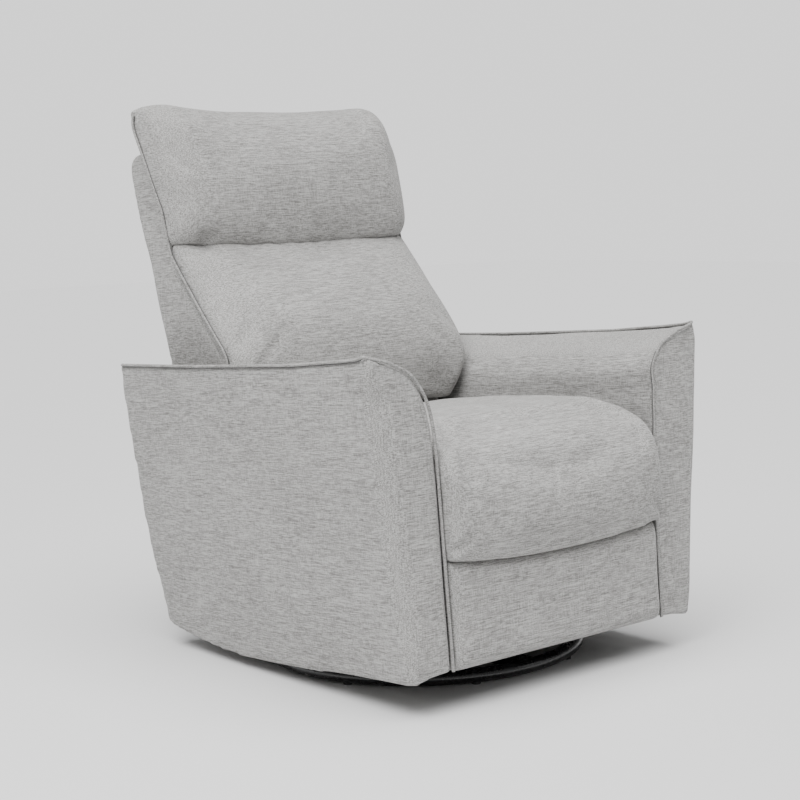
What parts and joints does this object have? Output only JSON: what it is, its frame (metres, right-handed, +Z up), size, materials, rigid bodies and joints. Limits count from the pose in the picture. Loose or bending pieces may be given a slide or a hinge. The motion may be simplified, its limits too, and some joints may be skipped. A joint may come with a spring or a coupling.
{
  "type": "glider nursery chair",
  "caption": "Upholstered swivel glider armchair with a reclining two-cushion back, fold-out footrest and round steel floor ring.",
  "frame": {"origin": "on the floor, under the middle of the chair's bounding box at rest", "axes": "+X to the viewer's right seen from the front, +Y to the back, +Z up"},
  "size_m": [0.7718, 0.9147, 1.0417],
  "materials": {
    "upholstery": "heathered linen-look weave",
    "elastic_webbing": "ribbed",
    "black_steel": "gloss black powder coat",
    "mechanism_steel": "satin grey-black paint",
    "zinc_hardware": "zinc plated",
    "frame_wood": "raw plywood and hardwood",
    "glide_plastic": "matt"
  },
  "bodies": {
    "base": {"base_ring": "black_steel", "base_cross": "black_steel", "floor_glides": "glide_plastic", "lower_swivel_plate": "mechanism_steel", "swivel_bolts": "zinc_hardware", "bearing_balls": "zinc_hardware", "kingpin": "zinc_hardware"},
    "carriage": {"upper_swivel_plate": "mechanism_steel", "carriage_rails": "mechanism_steel", "carriage_plate_left": "mechanism_steel", "carriage_plate_right": "mechanism_steel", "upper_pins": "zinc_hardware"},
    "front_links": {"link_front_left": "mechanism_steel", "link_front_right": "mechanism_steel"},
    "rear_links": {"link_rear_left": "mechanism_steel", "link_rear_right": "mechanism_steel"},
    "chair": {"lower_pins": "zinc_hardware", "seat_bracket_left": "mechanism_steel", "seat_bracket_right": "mechanism_steel", "seat_rail_left": "frame_wood", "seat_rail_right": "frame_wood", "seat_rail_front": "frame_wood", "seat_rail_middle": "frame_wood", "rear_rail": "frame_wood", "bracket_bolts": "zinc_hardware", "seat_springs": "zinc_hardware", "seat_cushion": "upholstery", "rear_panel": "upholstery", "arm_frame_left": "frame_wood", "arm_frame_right": "frame_wood", "arm_padding_left": "upholstery", "arm_padding_right": "upholstery", "arm_cover_left": "upholstery", "arm_cover_right": "upholstery", "arm_bolts": "zinc_hardware"},
    "back": {"back_shell": "upholstery", "back_stile_left": "frame_wood", "back_stile_right": "frame_wood", "back_rails": "frame_wood", "back_pins": "zinc_hardware", "back_webbing": "elastic_webbing", "lumbar_cushion": "upholstery", "head_pillow": "upholstery"},
    "foot_arm_a": {"foot_drive_tube": "mechanism_steel", "foot_link_a_left": "mechanism_steel", "foot_link_a_right": "mechanism_steel", "elbow_pins": "zinc_hardware"},
    "foot_arm_b": {"foot_link_b_left": "mechanism_steel", "foot_link_b_right": "mechanism_steel", "foot_pins": "zinc_hardware"},
    "footrest": {"foot_bracket_left": "mechanism_steel", "foot_bracket_right": "mechanism_steel", "foot_board": "frame_wood", "foot_pad": "upholstery"}
  },
  "joints": [
    {"name": "swivel", "type": "hinge", "parent": "base", "child": "carriage", "pos_m": [0, -0.0665, 0.034], "axis": [0, 0, 1], "continuous": true},
    {"name": "glide", "type": "hinge", "parent": "carriage", "child": "front_links", "pos_m": [0, -0.1965, 0.24], "axis": [1, 0, 0], "range_deg": [-27, 27]},
    {"name": "rear_link_pivot", "type": "hinge", "parent": "carriage", "child": "rear_links", "pos_m": [0, 0.0635, 0.24], "axis": [1, 0, 0], "range_deg": [-28, 28]},
    {"name": "chair_pivot", "type": "hinge", "parent": "front_links", "child": "chair", "pos_m": [0, -0.1965, 0.095], "axis": [1, 0, 0], "range_deg": [-28, 28]},
    {"name": "recline", "type": "hinge", "parent": "chair", "child": "back", "pos_m": [0, 0.22686, 0.25428], "axis": [-1, 0, 0], "range_deg": [0, 25]},
    {"name": "footrest_drive", "type": "hinge", "parent": "chair", "child": "foot_arm_a", "pos_m": [0, -0.33028, 0.24311], "axis": [-1, 0, 0], "range_deg": [0, 145]},
    {"name": "foot_elbow", "type": "hinge", "parent": "foot_arm_a", "child": "foot_arm_b", "pos_m": [0, -0.16339, 0.17568], "axis": [1, 0, 0], "range_deg": [0, 106]},
    {"name": "foot_board_pivot", "type": "hinge", "parent": "foot_arm_b", "child": "footrest", "pos_m": [0, -0.33804, 0.13214], "axis": [-1, 0, 0], "range_deg": [0, 51]}
  ],
  "couplings": [
    {"joint": "rear_link_pivot", "follows": "glide", "ratio": 1},
    {"joint": "chair_pivot", "follows": "glide", "ratio": -1},
    {"joint": "foot_elbow", "follows": "footrest_drive", "ratio": 0.72414},
    {"joint": "foot_board_pivot", "follows": "footrest_drive", "ratio": 0.34483}
  ]
}
